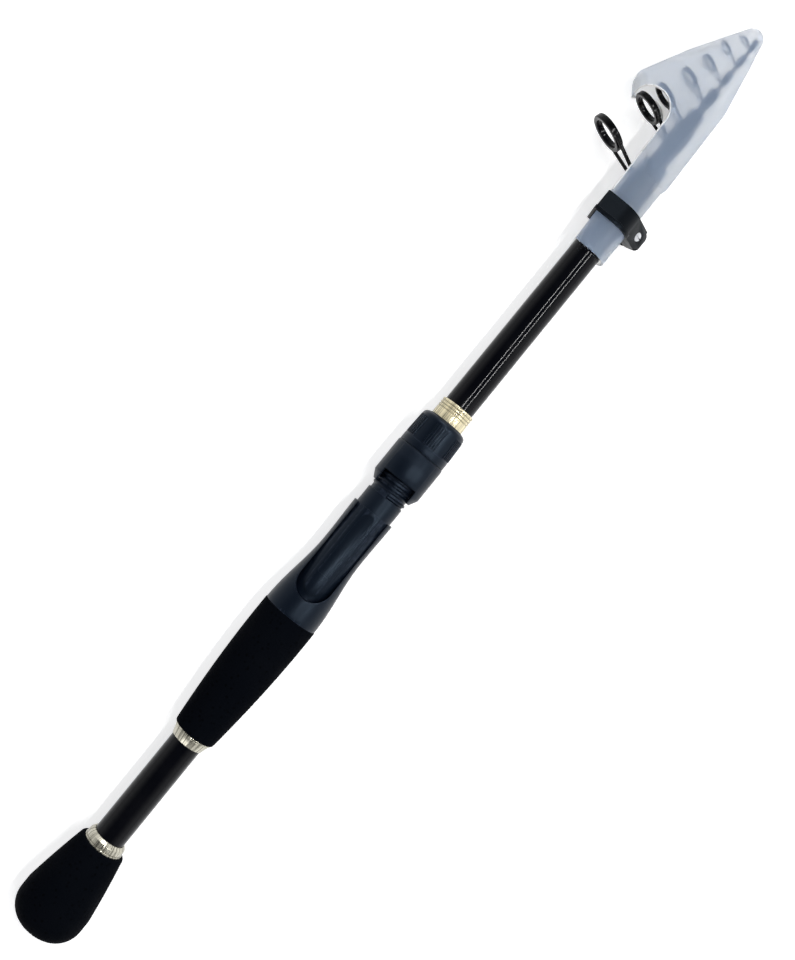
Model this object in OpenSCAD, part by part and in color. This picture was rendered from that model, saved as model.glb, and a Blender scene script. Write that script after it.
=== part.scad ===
// Telescopic fishing rod, collapsed: a tapered base tube with five sections nested in it, a foam
// handle with a screw-down reel seat, folded-up line guides and a slotted tip cap held by a clamp.
// The rod lies along +X with its butt at the origin, and the bed for the reel foot faces +Z.

/* [Butt] */
// Length of the foam butt knob
butt_len = 42.3; // [30:0.1:60]
// Widest diameter of the butt knob
butt_d = 29.8; // [24:0.1:40]
// Diameter of the flat on the end of the knob
butt_face_d = 9; // [4:0.5:14]
// Length of the round-over from the end flat to the widest land
butt_dome_len = 10; // [6:0.5:16]
// Length of the straight land at the widest diameter
butt_land_len = 5; // [2:0.5:10]
// Diameter of the front end of the knob
butt_front_d = 20; // [17:0.1:26]
// Thickness of foam between the end of the knob and the base tube
butt_floor = 5; // [3:0.5:10]
// Length of the plug that closes the rear of the base tube
plug_len = 15; // [8:0.5:20]
// Thickness of the rubber pad that the sections rest on
pad_len = 2; // [1:0.1:5]

/* [Blank] */
// Length of the base tube
base_len = 373.4; // [330:0.1:450]
// Outer diameter of the base tube at its front end
base_front_d = 12.6; // [12:0.05:16]
// Loss of radius per millimetre of length, the same for every section
taper = 0.00125; // [0.0008:0.00005:0.0015]
// Wall of the base tube
base_wall = 0.95; // [0.7:0.05:1.2]
// Wall of section 2
wall_2 = 0.7; // [0.5:0.05:0.8]
// Wall of section 3
wall_3 = 0.6; // [0.4:0.05:0.7]
// Wall of section 4
wall_4 = 0.5; // [0.35:0.05:0.6]
// Wall of section 5
wall_5 = 0.45; // [0.3:0.05:0.5]
// Length by which each section stays inside the one before when fully drawn out
overlap = 50; // [35:1:80]
// How far the front of section 2 stands ahead of the base tube
step_2 = 9.7; // [9.6:0.1:16]
// How far the front of section 3 stands ahead of section 2
step_3 = 18.4; // [9:0.1:24]
// How far the front of section 4 stands ahead of section 3
step_4 = 7.6; // [7.3:0.1:16]
// How far the front of section 5 stands ahead of section 4
step_5 = 11.4; // [7:0.1:18]
// How far the tip stands ahead of section 5
step_6 = 25.7; // [25:0.1:29]

/* [Handle] */
// Length of the metal ring in front of the butt knob
butt_ring_len = 4.4; // [3:0.1:8]
// Rear diameter of the butt ring
butt_ring_d = 17.2; // [15.6:0.1:19]
// Length of bare base tube between the butt ring and the grip ring
bare_len = 48.2; // [20:0.1:90]
// Length of the metal ring behind the grip
grip_ring_len = 4.5; // [3:0.1:8]
// Front diameter of the grip ring
grip_ring_d = 16.8; // [15.6:0.1:18]
// Length of the foam grip
grip_len = 60.3; // [45:0.1:90]
// Rear diameter of the grip
grip_rear_d = 18.2; // [17:0.1:21]
// Widest diameter of the grip
grip_d = 24.3; // [22:0.1:28]
// Room at the front of the grip ahead of its widest place
grip_front_len = 6.3; // [2:0.1:12]

/* [Reel seat] */
// Length of the seat body from the grip to the step before the thread
seat_len = 51.7; // [48:0.1:60]
// Rear diameter of the seat body
seat_rear_d = 23.8; // [22:0.1:26]
// Diameter of the waist of the seat body
seat_waist_d = 18; // [17.4:0.1:20]
// Diameter of the front of the seat body
seat_front_d = 18.6; // [18:0.1:21]
// Distance from the rear of the seat body to its waist
seat_waist_x = 33; // [26:0.5:40]
// Distance from the rear of the seat body to the lip of its fixed hood
lip_x = 8.9; // [7:0.1:12]
// Width of the bed that the reel foot lies in
bed_w = 15; // [13:0.1:16]
// Diameter of the floor of the bed
bed_d = 16.6; // [15.8:0.1:17]
// Width of the raised island on the bed
island_w = 8.2; // [6:0.1:10]
// Height of the island above the bed
island_h = 0.5; // [0.2:0.05:0.6]
// Distance from the rear of the seat body to the rear of the island
island_x = 11.9; // [11:0.1:16]
// Width of the sunk panel on the island
panel_w = 5.2; // [3:0.1:5.8]
// Depth of the sunk panel
panel_depth = 0.25; // [0.1:0.05:0.4]
// Distance from the rear of the seat body to the rear of the panel
panel_x = 20.9; // [18:0.1:26]
// Room at the front of the island ahead of the panel
panel_front = 1.4; // [0.8:0.1:4]
// Thickness of the wall behind the pocket of the fixed hood
pocket_back = 1.2; // [0.8:0.1:3]
// Diameter of the roof of the pocket in the fixed hood
pocket_d = 20.4; // [19:0.1:21]
// Width of the pocket in both hoods
pocket_w = 13.8; // [11:0.1:14.4]
// Length of plain neck between the step and the thread
neck_len = 7.6; // [3:0.1:9]
// Diameter of the thread crests
thread_d = 16.4; // [16:0.05:17]
// Depth of the thread
thread_depth = 0.65; // [0.3:0.05:0.8]
// Pitch of the thread
thread_pitch = 2.5; // [2:0.1:4]

/* [Hood and nut] */
// How far the hood can be wound back towards the fixed hood
hood_travel = 10; // [6:0.1:14]
// Room left between the wound-back hood and the step of the seat
hood_stop_gap = 0.9; // [0.4:0.1:2]
// Length of the sliding hood
hood_len = 18.9; // [17:0.1:26]
// Outer diameter of the hood barrel
hood_d = 21.6; // [20.6:0.1:23]
// Width of the raised roof of the hood
roof_w = 15.6; // [14.5:0.1:17]
// Diameter that the roof reaches over the pocket
roof_d = 24.4; // [23:0.1:26]
// How far the edge of the roof is set back from the rear of the hood
roof_setback = 5.9; // [4:0.1:8]
// Diameter of the roof of the hood pocket
hood_pocket_d = 21; // [20:0.1:21.6]
// Depth of the hood pocket from the rear of the hood
hood_pocket_len = 14; // [11:0.1:15]
// Length of the nut
nut_len = 15.5; // [12:0.1:22]
// Rear diameter of the nut
nut_rear_d = 21; // [20:0.1:22.4]
// Front diameter of the nut before its round-over
nut_front_d = 20; // [19.4:0.1:21.6]
// Length of the smooth band at the rear of the nut
nut_band_len = 3.2; // [2:0.1:5]
// Number of flute groups round the nut
flute_groups = 6; // [3:1:8]
// Number of flutes in a group
flutes_per_group = 6; // [3:1:7]
// Width of a flute
flute_w = 0.55; // [0.3:0.05:0.7]
// Depth of a flute
flute_depth = 0.4; // [0.2:0.05:0.5]
// Distance between flutes round the nut
flute_pitch = 1.1; // [1:0.05:1.3]
// Length of the grooved metal ring in front of the nut
front_ring_len = 7.7; // [6:0.1:12]
// Diameter of the front ring
front_ring_d = 14.6; // [14.2:0.1:17]
// Width of the grooves in the front ring
ring_groove_w = 0.5; // [0.3:0.05:0.6]
// Distance between the grooves in the front ring
ring_groove_pitch = 1.3; // [1:0.1:1.5]

/* [Guides] */
// Outer diameter of the first line guide
ring_d = 16.6; // [15:0.1:18]
// Outer diameter of the ceramic liner of the first guide
liner_d = 14.2; // [13.4:0.1:15]
// Diameter of the hole of the first guide
hole_d = 12.4; // [11.6:0.1:13]
// Depth of the first guide along the rod
ring_depth = 2.8; // [2:0.1:3]
// Diameter of the legs of the first guide
leg_d = 1.5; // [1:0.05:1.7]
// Size of the second guide as a share of the first
guide_2_share = 0.87; // [0.8:0.01:0.9]
// Size of each guide as a part of the one before
guide_ratio = 0.8; // [0.77:0.01:0.82]
// Clear height between the collar and the ring of the first guide
rise_1 = 9; // [8:0.1:12]
// Clear height between the collar and the ring of the second guide
rise_2 = 5.1; // [4.6:0.1:6]
// Height of the third guide's ring above its collar
rise_3 = 5.4; // [4.8:0.1:6]
// Clear height of each later guide as a part of the one before
rise_ratio = 0.87; // [0.85:0.01:0.92]
// Clear height between the tip-top tube and its ring
tip_rise = 0.4; // [0.2:0.1:1.2]
// Length of the collar of the first guide
collar_len = 9.5; // [8:0.1:9.8]
// Length of each collar as a part of the one before
collar_ratio = 0.87; // [0.82:0.01:0.9]
// Wall of the collars
collar_wall = 0.6; // [0.4:0.05:0.8]
// Lean of the guide rings towards the tip
guide_lean = 17; // [8:1:20]
// Lean of the line from the foot of a guide to the middle of its ring
leg_lean = 21.5; // [14:0.5:24]
// Distance from the tip back to the front of the last floating guide
float_6_back = 7.7; // [7.4:0.1:14]
// Distance between the two floating guides
float_step = 8.6; // [7.5:0.1:10]
// Part of the tip section's travel by which the rear floating guide stays behind the tip
float_5_share = 0.66; // [0.55:0.01:0.75]
// Part of the tip section's travel by which the front floating guide stays behind the tip
float_6_share = 0.33; // [0.25:0.01:0.45]
// Roll of the guides, the cap and the clamp above the level of the rod axis
roll = 0; // [-20:1:25]

/* [Tip cap] */
// Length of base tube that the cap covers
cap_cover = 34.2; // [28:0.1:45]
// Diameter of the cap tube
cap_tube_d = 15.8; // [15.4:0.1:18]
// Wall of the cap
cap_wall = 0.85; // [0.7:0.05:1]
// How far the cap tube sits off the rod axis, away from its slot
cap_drop = 0.6; // [0:0.05:0.8]
// Height of the channel sides above the rod axis at the rear of the cap
slot_y = 6.6; // [6:0.1:7.4]
// Height of the channel sides above the rod axis at the mouth
slot_front_y = 8.4; // [7.4:0.1:8.6]
// Length of the cap tube up to its widening head
cap_tube_len = 40; // [37:0.1:52]
// Radius of the shoulder where the head starts
shoulder_r = 8.8; // [8.6:0.1:9.6]
// Radius of the middle of the head
middle_r = 7.2; // [6.8:0.1:8]
// Radius of the head near the nose
fore_r = 5.2; // [5:0.1:6]
// Radius of the nose
nose_r = 4.6; // [4.4:0.1:5]
// Height of the nose above the rod axis
nose_y = 2; // [1.8:0.1:2.2]
// Room inside the nose in front of the tip
nose_room = 2.9; // [2.6:0.1:5]
// Radius of the outer corner of the fin
corner_r = 4.5; // [4:0.1:5.5]
// Height of the outer corner above the rod axis
corner_y = 24; // [23:0.1:28]
// Half width of the flat edge of the fin
corner_half_w = 3.2; // [2.5:0.1:5]
// Distance from the front of the base tube to the outer corner
corner_x = 32.4; // [31:0.1:36]
// Radius of the brow half way along the top of the fin
brow_r = 5; // [4:0.1:6]
// Height of the brow above the rod axis
brow_y = 14.9; // [14:0.1:16]
// Distance of the brow ahead of the fin corner
brow_ahead = 18; // [16:0.1:20]
// Radius of the round mouth under the corner
mouth_r = 8.4; // [8:0.1:9.2]
// Distance from the outer corner back to the middle of the mouth
mouth_back = 9; // [8:0.1:10]
// Distance from the outer corner down to the middle of the mouth
mouth_down = 7.2; // [6.8:0.1:8]
// Distance from the outer corner forward to the middle of the head
middle_ahead = 9; // [5:0.1:14]
// How far the middle of the head lies below the cap tube
middle_drop = 0.7; // [0:0.1:1]
// Distance from the nose back to the fore part of the head
fore_back = 10.5; // [8:0.1:13]
// How far the fore part of the head lies below the nose
fore_drop = 1.6; // [1:0.1:2]

/* [Clamp] */
// Distance from the rear of the cap to the clamp
clamp_setback = 13.4; // [6:0.1:16]
// Width of the clamp along the rod
clamp_w = 9.2; // [7:0.1:12]
// Thickness of the clamp band
clamp_wall = 0.8; // [0.7:0.1:1.6]
// Thickness of the rim bead along the rear edge
bead_h = 0.3; // [0.2:0.05:0.8]
// Width of the rim bead
bead_w = 1.7; // [1:0.1:3]
// Distance from the clamp centre to the end of its ears
ear_len = 15.2; // [14.8:0.1:15.6]
// Thickness of the two ears together at their end
ear_t = 12; // [10.5:0.1:14]
// Gap between the ears
ear_gap = 1.6; // [0.8:0.1:2.4]
// Angle of the ears below the level of the rod axis
ear_drop = 44; // [20:1:44]
// Diameter of the clamp screw
screw_d = 2; // [1.6:0.1:2.4]
// Diameter of the screw head
screw_head_d = 3.6; // [2.8:0.1:3.8]
// Height of the screw head
screw_head_h = 1.1; // [0.8:0.1:1.6]
// Distance from the clamp centre to the screw
screw_r = 9.5; // [9.4:0.1:10.8]
// Width of the square nut
square_nut_w = 3.8; // [3.4:0.1:4.4]
// Thickness of the square nut
square_nut_t = 1.6; // [1.2:0.1:2]

/* [Clearances] */
// Radial clearance of pieces fixed on a tube
fit_gap = 0.02; // [0.01:0.01:0.05]
// Radial clearance between sections where they lock
slide_gap = 0.05; // [0.03:0.01:0.1]
// Gap between faces of moving pieces that stop against each other
stop_gap = 0.3; // [0.1:0.05:0.6]
// Radial clearance of the hood and nut over the thread
thread_gap = 0.2; // [0.1:0.05:0.3]
// Radial clearance of the clamp round the cap
clamp_gap = 0.15; // [0.1:0.05:0.4]

/* [Hidden] */
$fn = 96;
hull_fn = 26;
far = 60;

// Stations along the rod, from the butt to the front ring
base_x = butt_floor;
base_top = base_x + base_len;
plug_end = base_x + plug_len;
rest_x = plug_end + pad_len + stop_gap;
ring_x = butt_len;
bare_x = ring_x + butt_ring_len;
grip_ring_x = bare_x + bare_len;
grip_x = grip_ring_x + grip_ring_len;
seat_x = grip_x + grip_len;
grip_swell_len = grip_len - grip_front_len;
step_x = seat_x + seat_len;
thread_x = step_x + neck_len;
hood_x = step_x + hood_stop_gap + hood_travel;
nut_x = hood_x + hood_len + stop_gap / 3;
front_ring_x = nut_x + nut_len + stop_gap;

// Radii of the nested sections, each worked out from the one that it slides in
walls = [base_wall, wall_2, wall_3, wall_4, wall_5];
steps = [0, step_2, step_3, step_4, step_5, step_6];
tip = len(steps) - 1;
function top_of(i) = i == 0 ? base_top : top_of(i - 1) + steps[i];
function rear_x(i) = i == 0 ? base_x : rest_x;
function rear_r(i) = i == 0
    ? base_front_d / 2 + taper * base_len
    : front_r(i - 1) - walls[i - 1] + taper * overlap - slide_gap;
function front_r(i) = rear_r(i) - taper * (top_of(i) - rear_x(i));
function blank_r(i, x) = front_r(i) + taper * (top_of(i) - x);
function travel_of(i) = top_of(i - 1) - overlap - rest_x;
function base_bore(x) = blank_r(0, x) + fit_gap;

// Line guides: 1 to 4 sit on sections 2 to 5, 5 and 6 float on the tip section, 7 is the tip-top
floating_guides = 2;
tip_guide = tip + floating_guides;
function scale_of(g) = g == 1 ? 1 : guide_2_share * pow(guide_ratio, g - 2);
function carrier_of(g) = min(g, tip);
function collar_l(g) = collar_len * pow(collar_ratio, g - 1);
function collar_front(g) = g < tip ? top_of(g)
    : g == tip_guide ? top_of(tip)
    : top_of(tip) - float_6_back - (g == 6 ? 0 : float_step);
function collar_x(g) = collar_front(g) - collar_l(g);
function float_back(g) = travel_of(tip) * (g == 5 ? float_5_share : g == 6 ? float_6_share : 0);
function collar_bore(g) = blank_r(carrier_of(g), collar_x(g) - float_back(g)) + fit_gap;
function collar_r(g) = collar_bore(g) + collar_wall;
function rise_of(g) = g == 1 ? rise_1
    : g == 2 ? rise_2
    : g == tip_guide ? tip_rise
    : rise_3 * pow(rise_ratio, g - 3);
function ring_y(g) = collar_r(g) + rise_of(g) + ring_d / 2 * scale_of(g);
leg_foot_angle = 30;
leg_head_angle = 66;
function foot_y(g) = collar_r(g) * cos(leg_foot_angle);
function foot_x(g) = collar_x(g) + leg_d / 2 * scale_of(g);
function guide_x(g) = foot_x(g) + (ring_y(g) - foot_y(g)) * tan(leg_lean);

// Tip cap and clamp stations
cap_x = base_top - cap_cover;
cap_r = cap_tube_d / 2;
head_x = cap_x + cap_tube_len;
nose_x = top_of(tip) + nose_room + cap_wall - nose_r;
corner_at = base_top + corner_x;
clamp_x = cap_x + clamp_setback;
clamp_bore = cap_r + clamp_gap;
clamp_r = clamp_bore + clamp_wall;
// The top of the clamp's opening, just above the channel sides there
side_rise = (slot_front_y - slot_y) / (corner_at - mouth_back - cap_x);
belt_top = slot_y + side_rise * (clamp_setback + clamp_w) + cap_drop + clamp_gap;
// The screw's head and its nut are sunk just below the faces of the ears
head_sink = 0.2;
nut_sink = 0.1;
seat_t = ear_t / 2 - head_sink;
nut_seat = ear_t / 2 - square_nut_t - nut_sink;

// A solid of revolution round the rod axis, from points of radius and station
module turned(points) {
    rotate([0, 90, 0])
        rotate_extrude()
            polygon(points);
}

// A round bar along the rod axis
module bar(x0, x1, r) {
    translate([x0, 0, 0])
        rotate([0, 90, 0])
            cylinder(r = r, h = x1 - x0);
}

// An upright slot with one round end at its rear
module slot_block(x0, x1, w) {
    translate([x0 + w / 2, -w / 2, 0])
        cube([x1 - x0 - w / 2, w, far]);
    translate([x0 + w / 2, 0, 0])
        cylinder(d = w, h = far);
}

// The part of a ring round the rod axis that lies over a bed of the given width
module crescent(x0, x1, r0, r1, w) {
    intersection() {
        difference() {
            bar(x0, x1, r1);
            bar(x0 - 1, x1 + 1, r0);
        }
        translate([x0 - 1, -w / 2, 0])
            cube([x1 - x0 + 2, w, far]);
    }
}

// A straight round rod between two points
module rod(a, b, d) {
    v = b - a;
    translate(a)
        rotate([0, acos(v[2] / norm(v)), atan2(v[1], v[0])])
            cylinder(d = d, h = norm(v));
}

// Turns a piece from the level of the rod axis to the roll of the guides
module rolled() {
    rotate([roll, 0, 0])
        children();
}

module butt_knob() {
    chamfer = 0.8;
    face_r = butt_face_d / 2;
    dome_r = butt_d / 2 - face_r;
    dome = [for (t = [0:10:90]) [face_r + dome_r * sin(t), butt_dome_len * (1 - cos(t))]];
    bore = base_bore(base_x);
    color("#1b1b1c")
        turned(concat([[0, 0]], dome, [
            [butt_d / 2, butt_dome_len + butt_land_len],
            [butt_front_d / 2, butt_len - chamfer],
            [butt_front_d / 2 - chamfer, butt_len],
            [bore, butt_len],
            [bore, base_x],
            [0, base_x]]));
}

module butt_plug() {
    chamfer = 0.6;
    r = blank_r(0, plug_end) - base_wall - fit_gap;
    color("#2c2d30")
        turned([[0, base_x], [r, base_x], [r, plug_end - chamfer], [r - chamfer, plug_end], [0, plug_end]]);
}

module butt_pad() {
    r = blank_r(0, plug_end + pad_len) - base_wall - fit_gap;
    color("#3a3a3a")
        bar(plug_end, plug_end + pad_len, r);
}

// A tapered tube of the blank
module blank_tube(i) {
    x0 = rear_x(i);
    x1 = top_of(i);
    w = walls[i];
    turned([[rear_r(i) - w, x0], [rear_r(i), x0], [front_r(i), x1], [front_r(i) - w, x1]]);
}

module base_blank() {
    color("#101113")
        blank_tube(0);
}

module section_tube(i) {
    color("#131418")
        blank_tube(i);
}

module tip_section() {
    color("#131418")
        turned([[0, rest_x], [rear_r(tip), rest_x], [front_r(tip), top_of(tip)], [0, top_of(tip)]]);
}

module butt_ring() {
    bevel = 1.3;
    lip = 0.7;
    x1 = bare_x;
    bore = base_bore(ring_x);
    color("#d8c9a3")
        turned([[bore, ring_x], [butt_ring_d / 2, ring_x], [butt_ring_d / 2, ring_x + lip],
            [butt_ring_d / 2 - lip / 4, ring_x + lip], [butt_ring_d / 2 - lip / 2, x1 - bevel],
            [bore + (butt_ring_d / 2 - bore) / 4, x1], [bore, x1]]);
}

module grip_ring() {
    rim = 0.8;
    x1 = grip_x;
    bore = base_bore(grip_ring_x);
    rear_r = bore + (grip_ring_d / 2 - bore) / 4;
    color("#d8c9a3")
        turned([[bore, grip_ring_x], [rear_r, grip_ring_x], [grip_ring_d / 2 - rim / 3, x1 - rim],
            [grip_ring_d / 2, x1 - rim], [grip_ring_d / 2, x1], [bore, x1]]);
}

module fore_grip() {
    chamfer = 0.5;
    swell_power = 0.9;
    swell = grip_d / 2 - grip_rear_d / 2;
    bore = base_bore(grip_x);
    side = [for (t = [0:10:90])
        [grip_rear_d / 2 + swell * pow(sin(t), swell_power), grip_x + grip_swell_len * t / 90]];
    color("#1b1b1c")
        turned(concat([[bore, grip_x]], side, [
            [grip_d / 2, seat_x - chamfer],
            [grip_d / 2 - chamfer, seat_x],
            [bore, seat_x]]));
}

module reel_seat() {
    bore = base_bore(seat_x);
    rear = seat_rear_d / 2;
    waist = seat_waist_d / 2;
    front = seat_front_d / 2;
    crest = thread_d / 2;
    root = crest - thread_depth;
    turns = floor((front_ring_x - thread_x) / thread_pitch);
    front_run = seat_len - seat_waist_x;
    back = [for (t = [0:15:180])
        [waist + (rear - waist) * (1 + cos(t)) / 2, seat_x + seat_waist_x * t / 180]];
    fore = [for (t = [30:30:180])
        [waist + (front - waist) * (1 - cos(t)) / 2, seat_x + seat_waist_x + front_run * t / 180]];
    thread = [for (i = [0:turns - 1], s = [[0.1, root], [0.4, root], [0.65, crest], [0.85, crest]])
        [s[1], thread_x + (i + s[0]) * thread_pitch]];
    island_r = bed_d / 2 + island_h;
    panel_end = step_x - panel_front;
    color("#1d242e")
        difference() {
            union() {
                difference() {
                    turned(concat([[bore, seat_x]], back, fore, [[crest, step_x], [crest, thread_x]],
                        thread, [[root, front_ring_x], [bore, front_ring_x]]));
                    difference() {
                        slot_block(seat_x + lip_x, step_x + 1, bed_w);
                        bar(seat_x, step_x + 2, bed_d / 2);
                    }
                    crescent(seat_x + pocket_back, seat_x + lip_x + bed_w / 2, bed_d / 2, pocket_d / 2,
                        pocket_w);
                }
                intersection() {
                    slot_block(seat_x + island_x, step_x, island_w);
                    difference() {
                        bar(seat_x, step_x, island_r);
                        bar(seat_x - 1, step_x + 1, (bed_d / 2 + bore) / 2);
                    }
                }
            }
            intersection() {
                difference() {
                    bar(seat_x, step_x, island_r + 1);
                    bar(seat_x - 1, step_x + 1, island_r - panel_depth);
                }
                translate([panel_end + seat_x + panel_x, 0, 0])
                    rotate([0, 0, 180])
                        slot_block(seat_x + panel_x, panel_end, panel_w);
            }
        }
}

module sliding_hood() {
    chamfer = 0.4;
    rear_lip = 0.5;
    rear_slope = 3.4;
    x0 = hood_x;
    x1 = hood_x + hood_len;
    bore = thread_d / 2 + thread_gap;
    roof_x = x0 + roof_setback;
    roof_rise = 2.5;
    roof_fall = 6;
    cut_z = bore / 2;
    color("#1d242e")
        difference() {
            union() {
                turned([[bore, x0], [bore + rear_lip, x0], [hood_d / 2, x0 + rear_slope],
                    [hood_d / 2, x1 - chamfer], [hood_d / 2 - chamfer, x1], [bore, x1]]);
                intersection() {
                    turned([[bore + rear_lip, roof_x], [roof_d / 2 - chamfer, roof_x],
                        [roof_d / 2, roof_x + roof_rise], [roof_d / 2, x1 - roof_fall],
                        [hood_d / 2, x1 - chamfer], [bore + rear_lip, x1 - chamfer]]);
                    translate([x0, -roof_w / 2, 0])
                        cube([hood_len, roof_w, far]);
                }
            }
            crescent(x0 - 1, x0 + hood_pocket_len, bore - chamfer, hood_pocket_d / 2, pocket_w);
            translate([x0 - 1, -roof_w / 2, cut_z])
                cube([roof_setback + 1, roof_w, far]);
        }
}

module hood_nut() {
    round_len = 2.2;
    round_r = 1.7;
    flute_end = 1.4;
    x0 = nut_x;
    x1 = nut_x + nut_len;
    bore = thread_d / 2 + thread_gap;
    flute_x = x0 + nut_band_len;
    front_cut = nut_front_d / 2 - flute_depth;
    flute_len = nut_len - nut_band_len - flute_end;
    group_turn = 360 / flute_groups;
    flute_turn = flute_pitch * 360 / (PI * nut_front_d);
    middle = (flutes_per_group - 1) / 2;
    color("#1a2029")
        difference() {
            turned([[bore, x0], [nut_rear_d / 2, x0], [nut_rear_d / 2, x0 + nut_band_len],
                [nut_front_d / 2, x1 - round_len], [nut_front_d / 2 - round_r / 4, x1 - round_len / 3],
                [nut_front_d / 2 - round_r, x1], [bore, x1]]);
            for (g = [0:flute_groups - 1], k = [0:flutes_per_group - 1])
                rotate([group_turn * g + flute_turn * (k - middle), 0, 0])
                    translate([flute_x, -flute_w / 2, front_cut])
                        cube([flute_len, flute_w, far]);
        }
}

module front_ring() {
    grooves = 3;
    groove_depth = 0.25;
    chamfer = 0.3;
    bore = base_bore(front_ring_x);
    r = front_ring_d / 2;
    x1 = front_ring_x + front_ring_len;
    first = x1 - chamfer - grooves * ring_groove_pitch;
    cuts = [for (i = [0:grooves - 1], s = [[0, r], [0, r - groove_depth], [1, r - groove_depth], [1, r]])
        [s[1], first + i * ring_groove_pitch + s[0] * ring_groove_w]];
    color("#d8c9a3")
        turned(concat([[bore, front_ring_x], [r, front_ring_x]], cuts,
            [[r, x1 - chamfer], [r - chamfer, x1], [bore, x1]]));
}

// A ring of the guide, in the plane that leans with its legs
module leaning_ring(g, points) {
    translate([guide_x(g), ring_y(g), 0])
        rotate([0, 0, -guide_lean])
            turned(points);
}

module guide_frame(g) {
    s = scale_of(g);
    x0 = collar_x(g);
    ro = ring_d / 2 * s;
    ri = liner_d / 2 * s + fit_gap;
    half = ring_depth / 2 * s;
    edge = (ro - ri) / 3;
    head = (ro + ri) / 2;
    head_x = guide_x(g) - head * cos(leg_head_angle) * sin(guide_lean);
    head_y = ring_y(g) - head * cos(leg_head_angle) * cos(guide_lean);
    color("#141416")
        rolled()
            difference() {
                union() {
                    bar(x0, collar_front(g), collar_r(g));
                    leaning_ring(g, [[ri, -half], [ro - edge, -half], [ro, edge - half], [ro, half - edge],
                        [ro - edge, half], [ri, half]]);
                    for (side = [-1, 1])
                        rod([foot_x(g), foot_y(g), side * collar_r(g) * sin(leg_foot_angle)],
                            [head_x, head_y, side * head * sin(leg_head_angle)], leg_d * s);
                }
                bar(x0 - 1, collar_front(g) + 1, collar_bore(g));
                leaning_ring(g, [[0, -far], [ri, -far], [ri, far], [0, far]]);
            }
}

module guide_liner(g) {
    s = scale_of(g);
    ro = liner_d / 2 * s;
    ri = hole_d / 2 * s;
    half = ring_depth / 2 * s;
    lip = (ro - ri) / 2;
    round_over = [for (t = [0:30:90]) [ri + lip * (1 - cos(t)), half - lip * (1 - sin(t))]];
    rear_over = [for (t = [90:-30:0]) [ri + lip * (1 - cos(t)), lip * (1 - sin(t)) - half]];
    color("#202022")
        rolled()
            leaning_ring(g, concat(round_over, [[ro, half], [ro, -half]], rear_over));
}

// The head of the cap as one smooth body, drawn in by the given inset
module cap_head(inset) {
    hull() {
        translate([head_x, -cap_drop, 0])
            sphere(r = shoulder_r - inset, $fn = hull_fn);
        translate([corner_at + middle_ahead, -cap_drop - middle_drop, 0])
            sphere(r = middle_r - inset, $fn = hull_fn);
        translate([nose_x - fore_back, nose_y - fore_drop, 0])
            sphere(r = fore_r - inset, $fn = hull_fn);
        translate([nose_x, nose_y, 0])
            sphere(r = nose_r - inset, $fn = hull_fn);
        translate([corner_at + brow_ahead, brow_y, 0])
            sphere(r = brow_r - inset, $fn = hull_fn);
        for (side = [-1, 1])
            translate([corner_at, corner_y, side * corner_half_w])
                sphere(r = corner_r - inset, $fn = hull_fn);
    }
}

module tip_cap() {
    mouth_x = corner_at - mouth_back;
    mouth_y = corner_y - mouth_down;
    tube_end = head_x + shoulder_r / 4;
    bore_end = head_x + shoulder_r / 8;
    bore_r = cap_r - cap_wall;
    color("#d5dae3")
        rolled()
            difference() {
                union() {
                    translate([0, -cap_drop, 0])
                        bar(cap_x, tube_end, cap_r);
                    translate([cap_x, -cap_drop, -cap_r])
                        cube([tube_end - cap_x, slot_front_y + cap_drop, 2 * cap_r]);
                    cap_head(0);
                }
                translate([0, -cap_drop, 0])
                    bar(cap_x - 1, bore_end, bore_r);
                translate([cap_x - 1, -cap_drop, -bore_r])
                    cube([bore_end - cap_x + 1, far, 2 * bore_r]);
                cap_head(cap_wall);
                translate([0, 0, -far / 2])
                    linear_extrude(far)
                        polygon([[cap_x - 1, slot_y], [mouth_x, slot_front_y], [mouth_x, far],
                            [cap_x - 1, far]]);
                translate([mouth_x, mouth_y, -far / 2])
                    cylinder(r = mouth_r, h = far);
            }
}

// Places the clamp's own outline, drawn across the rod, at its station
module at_clamp(x) {
    rolled()
        translate([x, -cap_drop, 0])
            rotate([90, 0, 90])
                children();
}

// Places a piece on the axis of the clamp screw, which crosses the ears
module on_screw() {
    at_clamp(clamp_x + clamp_w / 2)
        rotate([0, 0, ear_drop])
            translate([-screw_r, 0, 0])
                rotate([-90, 0, 0])
                    children();
}

// The outline of a belt round the open channel: round below, with upright sides and rounded upper corners
module belt(r, top, corner) {
    circle(r = r);
    translate([0, -r])
        square([top - corner, 2 * r]);
    translate([0, corner - r])
        square([top, 2 * (r - corner)]);
    for (side = [-1, 1])
        translate([top - corner, side * (r - corner)])
            circle(r = corner);
}

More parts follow.
